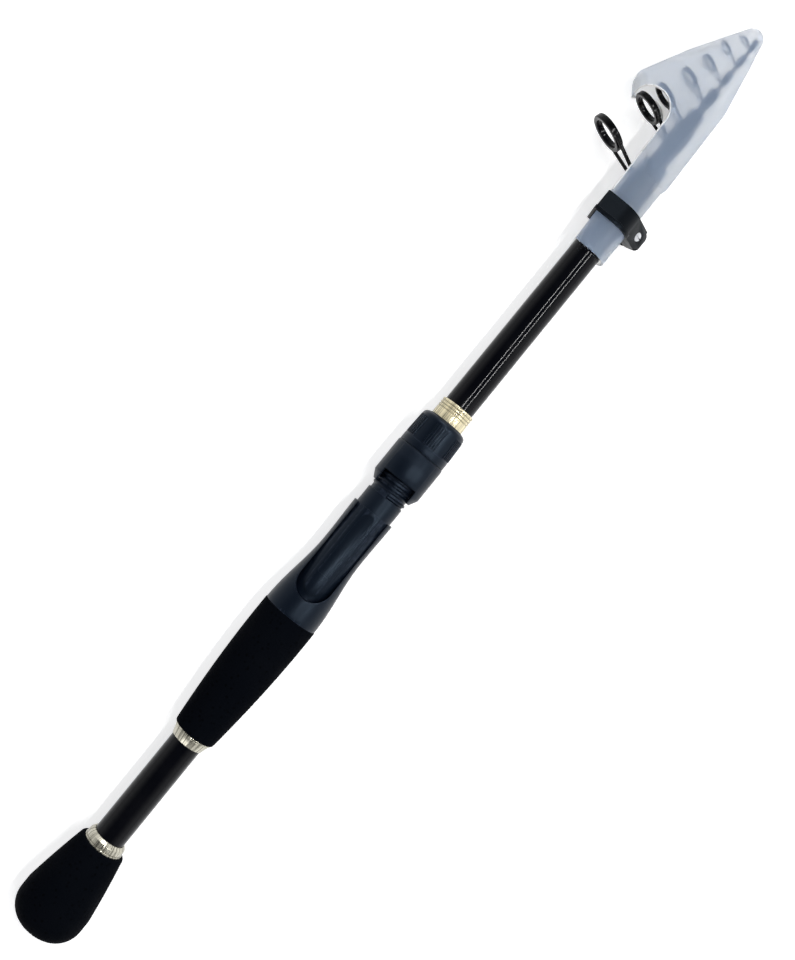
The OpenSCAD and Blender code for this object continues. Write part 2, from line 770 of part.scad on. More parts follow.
module clamp_band() {
    root_t = clamp_r * 0.94;
    root_x = -clamp_r * 0.34;
    corner = clamp_wall + clamp_gap;
    color("#17181a")
        difference() {
            at_clamp(clamp_x) {
                linear_extrude(clamp_w)
                    union() {
                        belt(clamp_r, belt_top + clamp_wall, corner);
                        rotate([0, 0, ear_drop])
                            polygon([[root_x, root_t], [-ear_len, ear_t / 2], [-ear_len, -ear_t / 2],
                                [root_x, -root_t]]);
                    }
                linear_extrude(bead_w)
                    belt(clamp_r + bead_h, belt_top + clamp_wall + bead_h, corner);
            }
            at_clamp(clamp_x - 1)
                linear_extrude(clamp_w + 2) {
                    belt(clamp_bore, belt_top, clamp_gap);
                    rotate([0, 0, ear_drop])
                        translate([-far, -ear_gap / 2])
                            square([far, ear_gap]);
                }
            on_screw() {
                translate([0, 0, -far])
                    cylinder(d = screw_d + 2 * slide_gap, h = 2 * far);
                translate([0, 0, seat_t])
                    cylinder(d = screw_head_d + 4 * slide_gap, h = far);
                translate([0, 0, -far - nut_seat])
                    translate([-square_nut_w / 2 - slide_gap, -square_nut_w / 2 - slide_gap, 0])
                        cube([square_nut_w + 2 * slide_gap, square_nut_w + 2 * slide_gap, far]);
            }
        }
}

module clamp_screw() {
    slot_w = 0.5;
    slot_depth = 0.5;
    head_top = seat_t + slide_gap + screw_head_h;
    color("#b9bcc0")
        on_screw()
            difference() {
                union() {
                    translate([0, 0, -ear_t / 2])
                        cylinder(d = screw_d, h = ear_t / 2 + seat_t + slide_gap);
                    translate([0, 0, seat_t + slide_gap])
                        cylinder(d = screw_head_d, h = screw_head_h);
                }
                translate([-screw_head_d, -slot_w / 2, head_top - slot_depth])
                    cube([2 * screw_head_d, slot_w, far]);
            }
}

module clamp_nut() {
    color("#9a9da1")
        on_screw()
            difference() {
                translate([-square_nut_w / 2, -square_nut_w / 2, -nut_seat - square_nut_t])
                    cube([square_nut_w, square_nut_w, square_nut_t]);
                translate([0, 0, -far])
                    cylinder(d = screw_d + 2 * slide_gap, h = 2 * far);
            }
}

butt_knob();
butt_plug();
butt_pad();
base_blank();
butt_ring();
grip_ring();
fore_grip();
reel_seat();
front_ring();
sliding_hood();
hood_nut();
section_tube(1);  // section_2
section_tube(2);  // section_3
section_tube(3);  // section_4
section_tube(4);  // section_5
tip_section();
for (g = [1:6]) {
    guide_frame(g);
    guide_liner(g);
}
guide_frame(tip_guide);  // tip_top_frame
guide_liner(tip_guide);  // tip_top_liner
tip_cap();
clamp_band();
clamp_screw();
clamp_nut();
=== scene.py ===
"""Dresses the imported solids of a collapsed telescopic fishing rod.

The pieces are the foam grips, the glossy blank, the metal rings, the reel seat, the line guides and the
frosted tip cap with its clamp. Their finishes and the stage of a plain studio view come with them.
"""

import math

import bpy
from bpy.props import FloatProperty, FloatVectorProperty, IntProperty, PointerProperty
from bpy.types import Operator, Panel, PropertyGroup
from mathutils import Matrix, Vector


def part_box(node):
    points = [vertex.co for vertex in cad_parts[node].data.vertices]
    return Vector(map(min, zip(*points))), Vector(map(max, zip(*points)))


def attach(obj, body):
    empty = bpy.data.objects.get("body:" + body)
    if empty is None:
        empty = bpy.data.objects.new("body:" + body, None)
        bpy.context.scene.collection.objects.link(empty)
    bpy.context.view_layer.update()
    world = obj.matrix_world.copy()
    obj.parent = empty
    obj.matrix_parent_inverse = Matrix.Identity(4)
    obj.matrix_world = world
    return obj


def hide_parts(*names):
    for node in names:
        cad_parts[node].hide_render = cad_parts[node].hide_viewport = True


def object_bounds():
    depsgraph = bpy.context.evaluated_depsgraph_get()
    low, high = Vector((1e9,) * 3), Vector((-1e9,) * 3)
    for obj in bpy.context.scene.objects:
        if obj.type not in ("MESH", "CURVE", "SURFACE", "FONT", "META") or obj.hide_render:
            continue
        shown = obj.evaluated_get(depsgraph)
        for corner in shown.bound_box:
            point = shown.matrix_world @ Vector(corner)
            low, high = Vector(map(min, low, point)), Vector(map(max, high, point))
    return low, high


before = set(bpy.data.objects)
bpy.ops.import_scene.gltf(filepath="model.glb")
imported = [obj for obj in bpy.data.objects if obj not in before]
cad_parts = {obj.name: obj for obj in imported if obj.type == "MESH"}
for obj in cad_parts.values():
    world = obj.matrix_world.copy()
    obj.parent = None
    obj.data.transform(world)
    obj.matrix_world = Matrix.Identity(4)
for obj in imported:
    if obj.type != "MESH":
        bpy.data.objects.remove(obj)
CAD_BOX = [list(corner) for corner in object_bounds()]

bl_info = {
    "name": "Telescopic Rod Looks",
    "version": (1, 0, 0),
    "blender": (4, 5, 0),
    "location": "View3D > Sidebar > Rod",
    "description": "Models the visible pieces of a collapsed telescopic fishing rod and their finishes",
    "category": "Add Mesh",
}

MM = 0.001
FULL_TURN = math.tau
WHITE = (1.0, 1.0, 1.0)

# Corners closer than this are one corner
WELD = 0.002 * MM
# How far a corner may lie from the end of a solid and still belong to that end
END_REACH = 0.02 * MM
# Faces narrower than EDGE_WIDTH that turn by more than EDGE_ANGLE get painted highlight on outer edges and
# painted shade in grooves
EDGE_WIDTH = 0.45 * MM
EDGE_ANGLE = math.radians(22)

# Sockets of a Mix node that mixes colours
MIX_LOW = 6
MIX_HIGH = 7
MIX_RESULT = 2


def colour_from(code):
    """Linear colour from a six-figure code of display values."""
    parts = [int(code[i:i + 2], 16) / 255 for i in (1, 3, 5)]
    return tuple(p / 12.92 if p <= 0.04045 else ((p + 0.055) / 1.055) ** 2.4 for p in parts)


def span(node):
    """Rear and front station of a CAD node along the rod."""
    low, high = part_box(node)
    return low.x, high.x


def end_radii(node, at_front):
    """Inner and outer radius of a turned CAD node at one of its ends."""
    x = span(node)[1 if at_front else 0]
    corners = [v.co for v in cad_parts[node].data.vertices]
    radii = [math.hypot(corner.y, corner.z) for corner in corners if abs(corner.x - x) < END_REACH]
    return min(radii), max(radii)


# Settings


def number(name, description, value, low, high, **kind):
    """A plain number with its limits."""
    return FloatProperty(name=name, description=description, default=value, min=low, max=high, **kind)


def length(name, description, value, low, high):
    """A length that is given in millimetres and kept in metres."""
    metres = [v * MM for v in (value, low, high)]
    return number(name, description, *metres, precision=5, subtype="DISTANCE", unit="LENGTH")


def slant(name, description, degrees):
    """An angle that is given in degrees and kept in radians."""
    radians = math.radians(degrees)
    return number(name, description, radians, -math.pi, math.pi, subtype="ANGLE", unit="ROTATION")


def share(name, description, value):
    """A value between nothing and one."""
    return number(name, description, value, 0, 1, subtype="FACTOR")


def power(name, description, watts):
    """The power of a lamp."""
    return number(name, description, watts, 0, 1000, unit="POWER")


def count(name, description, value, low, high):
    """A whole number with its limits."""
    return IntProperty(name=name, description=description, default=value, min=low, max=high)


def tint(name, description, code):
    """A colour that is given as a six-figure code."""
    colour = colour_from(code)
    return FloatVectorProperty(
        name=name, description=description, default=colour, size=3, min=0, max=1, subtype="COLOR")


class RodShapes(PropertyGroup):
    """Sizes of the modelled pieces that are not read from the solids."""

    turn_steps: count("Turning steps", "Faces round a turned piece", 120, 24, 240)
    knob_soften: length("Knob edge", "Rounding of the knob's cut edges", 0.9, 0.1, 3)
    grip_soften: length("Grip edge", "Rounding of the grip's cut edges", 0.5, 0.1, 2)
    dome_length: length("Knob dome", "Length of the knob's round end", 10, 4, 16)
    land_length: length("Knob land", "Length of the knob's straight land", 5, 1, 10)
    dome_face: length("Knob flat", "Radius of the flat on the knob's end", 4.5, 1, 8)
    knob_front: length("Knob front", "Radius of the knob's front end", 10, 8, 13)
    knob_bow: length("Knob bow", "How far the knob's flank bows outward", 0.25, 0, 1)
    knob_wall: length("Knob wall", "Thickness of the knob's closed end", 5, 2, 10)
    grip_rear: length("Grip rear", "Radius of the grip's rear end", 9.1, 8, 11)
    grip_crest: length("Grip crest", "Distance from the grip's rear to its widest place", 54, 30, 58)
    metal_soften: length("Metal edge", "Rounding of the rings' edges", 0.12, 0.02, 0.5)
    mould_soften: length("Moulding edge", "Rounding of the moulded edges", 0.22, 0.02, 0.6)
    thread_pitch: length("Thread pitch", "Advance of the thread in one turn", 2.5, 1, 4)
    thread_depth: length("Thread depth", "Depth of the thread", 0.65, 0.2, 1)
    thread_radius: length("Thread radius", "Radius of the thread's crests", 8.2, 7, 9)
    thread_start: length("Thread start", "Station of the first thread", 219, 200, 230)
    nut_band: length("Nut band", "Length of the nut's smooth band", 3.2, 1, 6)
    nut_soften: length("Nut edge", "Rounding of the nut and its flutes", 0.09, 0.02, 0.2)
    flute_depth: length("Flute depth", "Depth of the nut's flutes", 0.4, 0.1, 0.8)
    flutes: count("Flutes", "Flutes in one group", 6, 2, 8)
    flute_groups: count("Flute groups", "Groups of flutes round the nut", 6, 2, 8)
    guide_soften: length("Guide edge", "Rounding of the largest guide frame", 0.16, 0.02, 0.4)
    ear_round: length("Ear round", "Rounding of the outer corners of the clamp's ears", 2.6, 0.5, 4)
    ear_drop: slant("Ear drop", "How far the clamp's ears hang below level", 44)
    screw_soften: length("Screw edge", "Rounding of the clamp's screw", 0.08, 0.02, 0.2)
    plate_soften: length("Plate edge", "Rounding of the clamp's nut", 0.1, 0.02, 0.2)
    cap_soften: length("Cap edge", "Rounding of the cap's edges", 0.3, 0.05, 0.5)
    bead: length("Cap bead", "Radius of the bead along the cap's slot and mouth", 0.3, 0.1, 0.6)


class RodFinishes(PropertyGroup):
    """Colours and gloss of the finishes."""

    foam: tint("Foam", "Closed-cell foam", "#05070c")
    blank: tint("Blank", "Lacquered blank", "#04050a")
    blank_ior: number("Blank bending", "How strongly the blank's lacquer bends light", 1.25, 1, 1.6)
    blank_gloss: share("Blank roughness", "Roughness of the blank's lacquer", 0.1)
    wrap_pitch: length("Wrap pitch", "Spacing of the ridges under the lacquer", 3.4, 0.5, 8)
    wrap_depth: length("Wrap depth", "Height of the ridges under the lacquer", 0.02, 0, 0.2)
    seat: tint("Reel seat", "Moulded reel seat, hood and nut", "#070d17")
    metal: tint("Front ring", "Metal ring in front of the nut", "#ebdfb8")
    silver: tint("Rear rings", "Metal rings behind the grip", "#bdb9a8")
    guide: tint("Guides", "Lacquered guide frames", "#060608")
    liner: tint("Liners", "Ceramic liners", "#0d0d10")
    cap: tint("Cap", "Light that goes through the cap", "#faf6ee")
    cap_ior: number("Cap bending", "How strongly the cap bends light", 1.2, 1, 1.6)
    cap_frost: share("Cap frost", "Roughness of the cap", 0.5)
    cap_veil: tint("Cap veil", "Frosted surface of the cap", "#bad2f4")
    veil_share: share("Veil share", "Share of the light that the frosted surface scatters", 0.21)
    clamp: tint("Clamp", "Clamp band", "#050608")
    steel: tint("Screw", "Screw and its nut", "#c4c6ca")
    rubber: tint("Rubber", "Hidden pad and plug", "#2c2d30")


class RodStage(PropertyGroup):
    """Floor, lamps, backdrop and camera."""

    floor_side: length("Floor side", "Side of the floor", 12000, 1000, 40000)
    floor_tint: tint("Floor", "Colour of the floor", "#dadada")
    floor_glow: share("Floor glow", "Light that the floor adds where it is seen", 0.62)
    clear_reach: length("Floor reach", "Distance at which the floor begins to whiten", 900, 500, 5000)
    key_power: power("Key lamp", "Broad lamp at the tip end", 125)
    fill_power: power("Fill lamp", "Broad lamp at the butt end", 45)
    strip_power: power("Strip lamps", "Each of the narrow lamps", 4)
    sky: share("Sky", "Strength of the light from all round", 0.07)
    sky_tint: tint("Sky colour", "Light from all round", "#cfdcf5")
    ceiling: share("Ceiling", "Brightness of the backdrop overhead, as mirrored", 0.08)
    camera_height: length("Camera height", "Height above the rod axis", 484, 300, 900)
    camera_x: length("Camera station", "Station along the rod", 227.4, 0, 500)
    camera_y: length("Camera side", "Offset to the side of the rod", 0.75, -100, 100)
    camera_turn: slant("Camera turn", "Turn about the line of sight", -50.83)
    camera_lens: number("Lens", "Focal length in millimetres", 45.94, 10, 200)


# Modelling steps


def edit_mode():
    bpy.ops.object.mode_set(mode="EDIT")


def object_mode():
    bpy.ops.object.mode_set(mode="OBJECT")


def start_clean():
    """Object mode with nothing selected."""
    if bpy.context.object is not None and bpy.context.object.mode != "OBJECT":
        object_mode()
    bpy.ops.object.select_all(action="DESELECT")


def pick(piece):
    """Makes a piece the only selected one."""
    start_clean()
    piece.select_set(True)
    bpy.context.view_layer.objects.active = piece


def choose(kind):
    """Makes edit mode select edges or faces, with none selected, and leaves it."""
    edit_mode()
    bpy.ops.mesh.select_all(action="DESELECT")
    bpy.ops.mesh.select_mode(type=kind)
    object_mode()


def draw_outline(name, points):
    """A chain of edges through (station, radius) points above the rod axis, left in edit mode."""
    start_clean()
    bpy.ops.mesh.primitive_plane_add(size=MM, location=(0, 0, 0))
    piece = bpy.context.object
    piece.name = name
    piece.data.name = name
    edit_mode()
    bpy.ops.mesh.merge(type="CENTER")
    bpy.ops.transform.translate(value=(points[0][0], 0, points[0][1]))
    for (x0, r0), (x1, r1) in zip(points, points[1:]):
        bpy.ops.mesh.extrude_vertices_move(TRANSFORM_OT_translate={"value": (x1 - x0, 0, r1 - r0)})
    bpy.ops.mesh.select_all(action="SELECT")
    return piece


def close_up():
    """Merges doubles and turns the faces outward, in edit mode."""
    bpy.ops.mesh.select_all(action="SELECT")
    bpy.ops.mesh.remove_doubles(threshold=WELD)
    bpy.ops.mesh.normals_make_consistent(inside=False)


def turn(name, points, steps):
    """A piece turned about the rod axis from (station, radius) points."""
    piece = draw_outline(name, points)
    bpy.ops.mesh.spin(steps=steps, angle=FULL_TURN, center=(0, 0, 0), axis=(1, 0, 0))
    close_up()
    object_mode()
    return piece


def copy_solid(name, node):
    """A new piece from the mesh of a CAD node, with its loose triangles merged."""
    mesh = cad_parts[node].data.copy()
    mesh.name = name
    piece = bpy.data.objects.new(name, mesh)
    bpy.context.scene.collection.objects.link(piece)
    pick(piece)
    edit_mode()
    bpy.ops.mesh.select_all(action="SELECT")
    bpy.ops.mesh.customdata_custom_splitnormals_clear()
    bpy.ops.mesh.remove_doubles(threshold=WELD)
    bpy.ops.mesh.tris_convert_to_quads(face_threshold=math.radians(2), shape_threshold=math.radians(40))
    object_mode()
    return piece


def soften(piece, width, angle=30, segments=2):
    """Rounds the edges sharper than an angle in degrees."""
    pick(piece)
    bevel = piece.modifiers.new("soft edges", "BEVEL")
    bevel.width = width
    bevel.segments = segments
    bevel.limit_method = "ANGLE"
    bevel.angle_limit = math.radians(angle)
    bevel.use_clamp_overlap = True
    bpy.ops.object.modifier_apply(modifier=bevel.name)


def smooth(piece, angle=32):
    """Shades a piece smooth across edges blunter than an angle in degrees."""
    pick(piece)
    bpy.ops.object.shade_smooth_by_angle(angle=math.radians(angle))


def mark_edges(piece):
    """Keeps, face by face, which narrow faces lie on an outer edge (edge) or in an inner corner (groove)."""
    mesh = piece.data
    corners = [v.co for v in mesh.vertices]
    faces_of = {}
    width = []
    for face in mesh.polygons:
        longest = max((corners[a] - corners[b]).length for a, b in face.edge_keys)
        width.append(face.area / longest)
        for key in face.edge_keys:
            faces_of.setdefault(key, []).append(face)
    marks = {name: [0.0] * len(mesh.polygons) for name in ("edge", "groove")}
    for pair in faces_of.values():
        if len(pair) == 2 and pair[0].normal.angle(pair[1].normal, 0) > EDGE_ANGLE:
            outward = (pair[1].center - pair[0].center).dot(pair[0].normal) < 0
            for face in pair:
                if width[face.index] < EDGE_WIDTH:
                    marks["edge" if outward else "groove"][face.index] = 1.0
    for name, values in marks.items():
        layer = mesh.attributes.new(name, "FLOAT", "FACE")
        layer.data.foreach_set("value", values)


def dress(piece, material, body, slot, *nodes):
    """Gives a piece its finish and its body and hides the solids that it stands for; the slot is not used.
    """
    mark_edges(piece)
    piece.data.materials.clear()
    piece.data.materials.append(material)
    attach(piece, body)
    if nodes:
        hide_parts(*nodes)


def arc(x0, r0, x1, r1, bow, slices):
    """Points from one place of an outline to another on a curve that bows outward by a distance."""
    points = []
    for i in range(slices + 1):
        t = i / slices
        points.append((x0 + (x1 - x0) * t, r0 + (r1 - r0) * t + 4 * bow * t * (1 - t)))
    return points


# Finishes


def add(tree, kind, **settings):
    """A new node with its settings."""
    node = tree.nodes.new(kind)
    for key, value in settings.items():
        setattr(node, key, value)
    return node


def feed(target, source):
    """Links an output to an input, or sets the input to a plain value."""
    if isinstance(source, bpy.types.NodeSocket):
        target.id_data.links.new(source, target)
    else:
        target.default_value = source


def fill(node, **values):
    """Feeds inputs by name, with an underscore for each space."""
    for label, value in values.items():
        feed(node.inputs[label.replace("_", " ")], value)


def maths(tree, operation, *values):
    """The result of an operation on outputs or plain values."""
    node = add(tree, "ShaderNodeMath", operation=operation)
    for socket, value in zip(node.inputs, values):
        feed(socket, value)
    return node.outputs[0]


def times(tree, first, second):
    """The product of two outputs or plain values."""
    return maths(tree, "MULTIPLY", first, second)


def blend_range(tree, value, low, high, to_low=0.0, to_high=1.0):
    """A value moved from one range to another and kept inside it."""
    node = add(tree, "ShaderNodeMapRange")
    fill(node, Value=value, From_Min=low, From_Max=high, To_Min=to_low, To_Max=to_high)
    return node.outputs["Result"]


def object_place(tree):
    """The place on the piece, in metres."""
    return add(tree, "ShaderNodeTexCoord").outputs["Object"]


def axes(tree, vector):
    """The three parts of a vector."""
    node = add(tree, "ShaderNodeSeparateXYZ")
    feed(node.inputs[0], vector)
    return node.outputs


def noise(tree, vector, scale, detail=3.0, roughness=0.5):
    """Soft noise between nothing and one."""
    node = add(tree, "ShaderNodeTexNoise")
    fill(node, Vector=vector, Scale=scale, Detail=detail, Roughness=roughness)
    return node.outputs["Fac"]


def cells(tree, vector, scale):
    """Distance from the middle of the nearest of many cells."""
    node = add(tree, "ShaderNodeTexVoronoi", feature="F1")
    fill(node, Vector=vector, Scale=scale)
    return node.outputs["Distance"]


def make_group(name, inputs, outputs):
    """An empty shader group, and the sockets inside it that its inputs and outputs join."""
    tree = bpy.data.node_groups.new(name, "ShaderNodeTree")
    for label, value in inputs.items():
        socket = tree.interface.new_socket(name=label, in_out="INPUT", socket_type="NodeSocketFloat")
        socket.default_value = value
    for label in outputs:
        tree.interface.new_socket(name=label, in_out="OUTPUT", socket_type="NodeSocketFloat")
    return tree, add(tree, "NodeGroupInput").outputs, add(tree, "NodeGroupOutput").inputs


def group_fine_grain():
    """Fine moulded or painted grain, and a broad mask of handling."""
    inputs = {"Scale": 900.0, "Handling Scale": 45.0}
    tree, enter, leave = make_group("Fine Grain", inputs, ["Height", "Handling"])
    place = object_place(tree)
    grain = noise(tree, place, enter["Scale"], detail=4.0, roughness=0.6)
    broad = noise(tree, place, enter["Handling Scale"], detail=5.0, roughness=0.62)
    feed(leave["Height"], grain)
    feed(leave["Handling"], blend_range(tree, broad, 0.38, 0.66))
    return tree


def group_foam_cells():
    """Closed cells of cut foam with a few larger open pores."""
    inputs = {"Cell Scale": 1500.0, "Pore Scale": 420.0}
    tree, enter, leave = make_group("Foam Cells", inputs, ["Height", "Pores"])
    place = object_place(tree)
    closed = times(tree, cells(tree, place, enter["Cell Scale"]), 0.6)
    rough = times(tree, noise(tree, place, enter["Cell Scale"], detail=2.0), 0.4)
    skin = maths(tree, "ADD", closed, rough)
    open_pores = blend_range(tree, cells(tree, place, enter["Pore Scale"]), 0.12, 0.3)
    feed(leave["Height"], times(tree, skin, open_pores))
    feed(leave["Pores"], open_pores)
    return tree


def group_spiral_wrap():
    """Ridges that run round the rod in a helix, with a wandering edge."""
    tree, enter, leave = make_group("Spiral Wrap", {"Pitch": 0.0034, "Wander": 0.35}, ["Height"])
    place = object_place(tree)
    split = axes(tree, place)
    angle = maths(tree, "ARCTAN2", split["Z"], split["Y"])
    along = maths(tree, "DIVIDE", split["X"], enter["Pitch"])
    around = maths(tree, "DIVIDE", angle, FULL_TURN)
    stray = times(tree, noise(tree, place, scale=420.0, detail=2.0), enter["Wander"])
    phase = maths(tree, "ADD", maths(tree, "ADD", along, around), stray)
    wave = maths(tree, "SINE", times(tree, phase, FULL_TURN))
    fine = times(tree, noise(tree, place, scale=1600.0), 0.35)
    feed(leave["Height"], maths(tree, "ADD", times(tree, wave, 0.5), fine))
    return tree


def group_turned_lines():
    """Fine tool lines that run round a turned metal ring, and broad streaks of painted reflection that run
    across them.
    """
    tree, enter, leave = make_group("Turned Lines", {"Lines": 9000.0}, ["Height", "Streaks"])
    split = axes(tree, object_place(tree))
    line = add(tree, "ShaderNodeCombineXYZ")
    feed(line.inputs["X"], times(tree, split["X"], enter["Lines"]))
    lines = noise(tree, line.outputs[0], scale=1.0, roughness=0.6)
    angle = maths(tree, "ARCTAN2", split["Z"], split["Y"])
    along = 20.0
    around = 6.0
    sweep = add(tree, "ShaderNodeCombineXYZ")
    fill(
        sweep,
        X=times(tree, split["X"], along),
        Y=times(tree, maths(tree, "COSINE", angle), around),
        Z=times(tree, maths(tree, "SINE", angle), around),
    )
    feed(leave["Height"], lines)
    feed(leave["Streaks"], noise(tree, sweep.outputs[0], scale=2.0, detail=4.0, roughness=0.6))
    return tree


def group_painted_edge_light():
    """Painted highlight on the marked edges of a piece and painted shade in its grooves, both broken up by
    noise.
    """
    tree, enter, leave = make_group("Painted Edge Light", {"Amount": 0.5, "Break Up": 600.0}, ["Mask", "Painted Groove Shade"])
    patches = noise(tree, object_place(tree), enter["Break Up"], detail=4.0, roughness=0.65)
    broken = blend_range(tree, patches, 0.4, 0.62)
    edge = add(tree, "ShaderNodeAttribute", attribute_name="edge").outputs["Fac"]
    edge_highlight_mask = times(tree, edge, broken)
    feed(leave["Mask"], times(tree, edge_highlight_mask, enter["Amount"]))
    groove = add(tree, "ShaderNodeAttribute", attribute_name="groove").outputs["Fac"]
    groove_shade_share = blend_range(tree, broken, 0, 1, 1.0, 0.75)
    feed(leave["Painted Groove Shade"], times(tree, groove, groove_shade_share))
    return tree


GROUP_MAKERS = {
    "Fine Grain": group_fine_grain,
    "Foam Cells": group_foam_cells,
    "Spiral Wrap": group_spiral_wrap,
    "Turned Lines": group_turned_lines,
    "Painted Edge Light": group_painted_edge_light,
}


def place_group(tree, name, **values):
    """The outputs of one of the shared effects, with its own values."""
    node = add(tree, "ShaderNodeGroup")
    node.node_tree = bpy.data.node_groups.get(name) or GROUP_MAKERS[name]()
    fill(node, **values)
    return node.outputs


def start_material(name, **values):
    """A new material, its node tree and its shader, with the shader's plain values set."""
    material = bpy.data.materials.new(name)
    material.use_nodes = True
    tree = material.node_tree
    shader = tree.nodes["Principled BSDF"]
    fill(shader, **values)
    return material, tree, shader


def opaque(colour):
    return (*colour, 1.0)


def lighter(colour, amount):
    return tuple(min(1.0, c + amount) for c in colour)


def scaled(colour, factor):
    return tuple(min(1.0, c * factor) for c in colour)


def mix_colours(tree, mask, low, high):
    """A colour that goes from one to another by a mask."""
    mix = add(tree, "ShaderNodeMix", data_type="RGBA")
    feed(mix.inputs["Factor"], mask)
    mix.inputs[MIX_LOW].default_value = opaque(low)
    mix.inputs[MIX_HIGH].default_value = opaque(high)
    return mix.outputs[MIX_RESULT]


def shade(shader, mask, low, high):
    """Base colour that goes from one colour to another by a mask."""
    feed(shader.inputs["Base Color"], mix_colours(shader.id_data, mask, low, high))


def roughen(shader, mask, low, high):
    """Roughness that goes from one value to another by a mask."""
    feed(shader.inputs["Roughness"], blend_range(shader.id_data, mask, 0, 1, low, high))


def emboss(shader, height, distance):
    """Surface relief from a height."""
    bump = add(shader.id_data, "ShaderNodeBump")
    bump.inputs["Distance"].default_value = distance
    feed(bump.inputs["Height"], height)
    feed(shader.inputs["Normal"], bump.outputs["Normal"])


def foam_finish(looks):
    """Cut closed-cell foam with open pores, painted darker in the pores as shade."""
    material, tree, shader = start_material("closed_cell_foam", Specular_IOR_Level=0.02)
    foam = place_group(tree, "Foam Cells")
    grain = place_group(tree, "Fine Grain", Scale=1200.0, Handling_Scale=60.0)
    # Painted shade: the open pores get a darker colour.
    pore_shade = scaled(looks.foam, 0.4)
    shade(shader, foam["Pores"], pore_shade, looks.foam)
    roughen(shader, grain["Handling"], 0.92, 0.74)
    emboss(shader, foam["Height"], distance=0.06 * MM)
    return material


def blank_finish(looks):
    """Gloss lacquer over the spiral ridges of a wrapped blank."""
    material, tree, shader = start_material("lacquered_blank", IOR=looks.blank_ior)
    wrap = place_group(tree, "Spiral Wrap", Pitch=looks.wrap_pitch)
    grain = place_group(tree, "Fine Grain", Scale=700.0, Handling_Scale=50.0)
    shade(shader, grain["Handling"], looks.blank, lighter(looks.blank, 0.002))
    roughen(shader, grain["Handling"], looks.blank_gloss * 0.8, looks.blank_gloss * 1.5)
    emboss(shader, wrap["Height"], distance=looks.wrap_depth)
    return material


def moulded_finish(name, colour, low, high, shine, grain_scale, highlight_amount):
    """Satin moulded plastic with fine grain, handling and a painted highlight along its edges."""
    cool = (0.6, 0.78, 1.0)
    material, tree, shader = start_material(name, Specular_IOR_Level=shine, Specular_Tint=opaque(cool))
    grain = place_group(tree, "Fine Grain", Scale=grain_scale)
    edges = place_group(tree, "Painted Edge Light", Amount=highlight_amount)
    # Painted highlight: the marked edges are lightened as though they catch the light.
    edge_highlight = lighter(scaled(colour, 3.0), 0.01)
    shade(shader, edges["Mask"], colour, edge_highlight)
    roughen(shader, grain["Handling"], high, low)
    emboss(shader, grain["Height"], distance=0.03 * MM)
    return material


def metal_finish(name, colour, mirror, low, high):
    """Turned and polished metal with fine tool lines, streaks of painted reflection and painted shade in its
    grooves.
    """
    material, tree, shader = start_material(name, Metallic=mirror)
    lines = place_group(tree, "Turned Lines")
    edges = place_group(tree, "Painted Edge Light")
    painted_reflection = lines["Streaks"]
    # Painted reflection and shade: the streaks set light and dark mirrored bands in the colour, and the
    # grooves keep the dark colour as painted shade.
    outside_grooves = maths(tree, "SUBTRACT", 1.0, edges["Painted Groove Shade"])
    bright = times(tree, blend_range(tree, painted_reflection, 0.4, 0.54), outside_grooves)
    painted_dark = scaled(colour, 0.36)
    shade(shader, bright, painted_dark, lighter(colour, 0.06))
    feed(shader.inputs["Roughness"], blend_range(tree, painted_reflection, 0.3, 0.7, low, high))
    emboss(shader, lines["Height"], distance=0.002 * MM)
    return material


def lacquer_finish(name, colour, low, high):
    """Gloss paint or polished ceramic with a faint orange-peel."""
    material, tree, shader = start_material(name, Specular_IOR_Level=0.15)
    grain = place_group(tree, "Fine Grain", Scale=1100.0, Handling_Scale=160.0)
    edges = place_group(tree, "Painted Edge Light", Amount=0.12, Break_Up=1400.0)
    # Painted highlight: the marked edges are lightened as though they catch the light.
    edge_highlight = lighter(colour, 0.06)
    shade(shader, edges["Mask"], colour, edge_highlight)
    roughen(shader, grain["Handling"], low, high)
    emboss(shader, grain["Height"], distance=0.003 * MM)
    return material


def frosted_finish(looks):
    """Clear plastic with a frosted surface: light goes through softly under a pale veil."""
    material, tree, clear = start_material("frosted_plastic", IOR=looks.cap_ior, Transmission_Weight=1.0)
    clear.inputs["Base Color"].default_value = opaque(looks.cap)
    grain = place_group(tree, "Fine Grain", Scale=1500.0, Handling_Scale=70.0)
    edges = place_group(tree, "Painted Edge Light", Amount=0.8, Break_Up=900.0)
    roughen(clear, grain["Handling"], looks.cap_frost * 0.95, looks.cap_frost * 1.05)
    veil = add(tree, "ShaderNodeBsdfPrincipled")
    veil.inputs["Roughness"].default_value = 0.45
    # Painted highlight: the veil turns white along the cap's marked edges.
    shade(veil, edges["Mask"], looks.cap_veil, WHITE)
    mix = add(tree, "ShaderNodeMixShader")
    mix.inputs["Fac"].default_value = looks.veil_share
    feed(mix.inputs[1], clear.outputs["BSDF"])
    feed(mix.inputs[2], veil.outputs["BSDF"])
    feed(tree.nodes["Material Output"].inputs["Surface"], mix.outputs["Shader"])
    for shader in (clear, veil):
        emboss(shader, grain["Height"], distance=0.004 * MM)
    return material


def bead_finish(looks):
    """The same plastic where it is thick and smooth: paler and less clear, and near white as a painted
    highlight along the rim.
    """
    material, tree, shader = start_material("frosted_bead", IOR=looks.cap_ior, Transmission_Weight=0.25)
    grain = place_group(tree, "Fine Grain", Scale=900.0, Handling_Scale=120.0)
    # Painted highlight: near white, so that the bead reads as a bright line along the slot and mouth.
    shade(shader, grain["Handling"], lighter(looks.cap_veil, 0.6), WHITE)
    roughen(shader, grain["Handling"], 0.34, 0.24)
    emboss(shader, grain["Height"], distance=0.004 * MM)
    return material


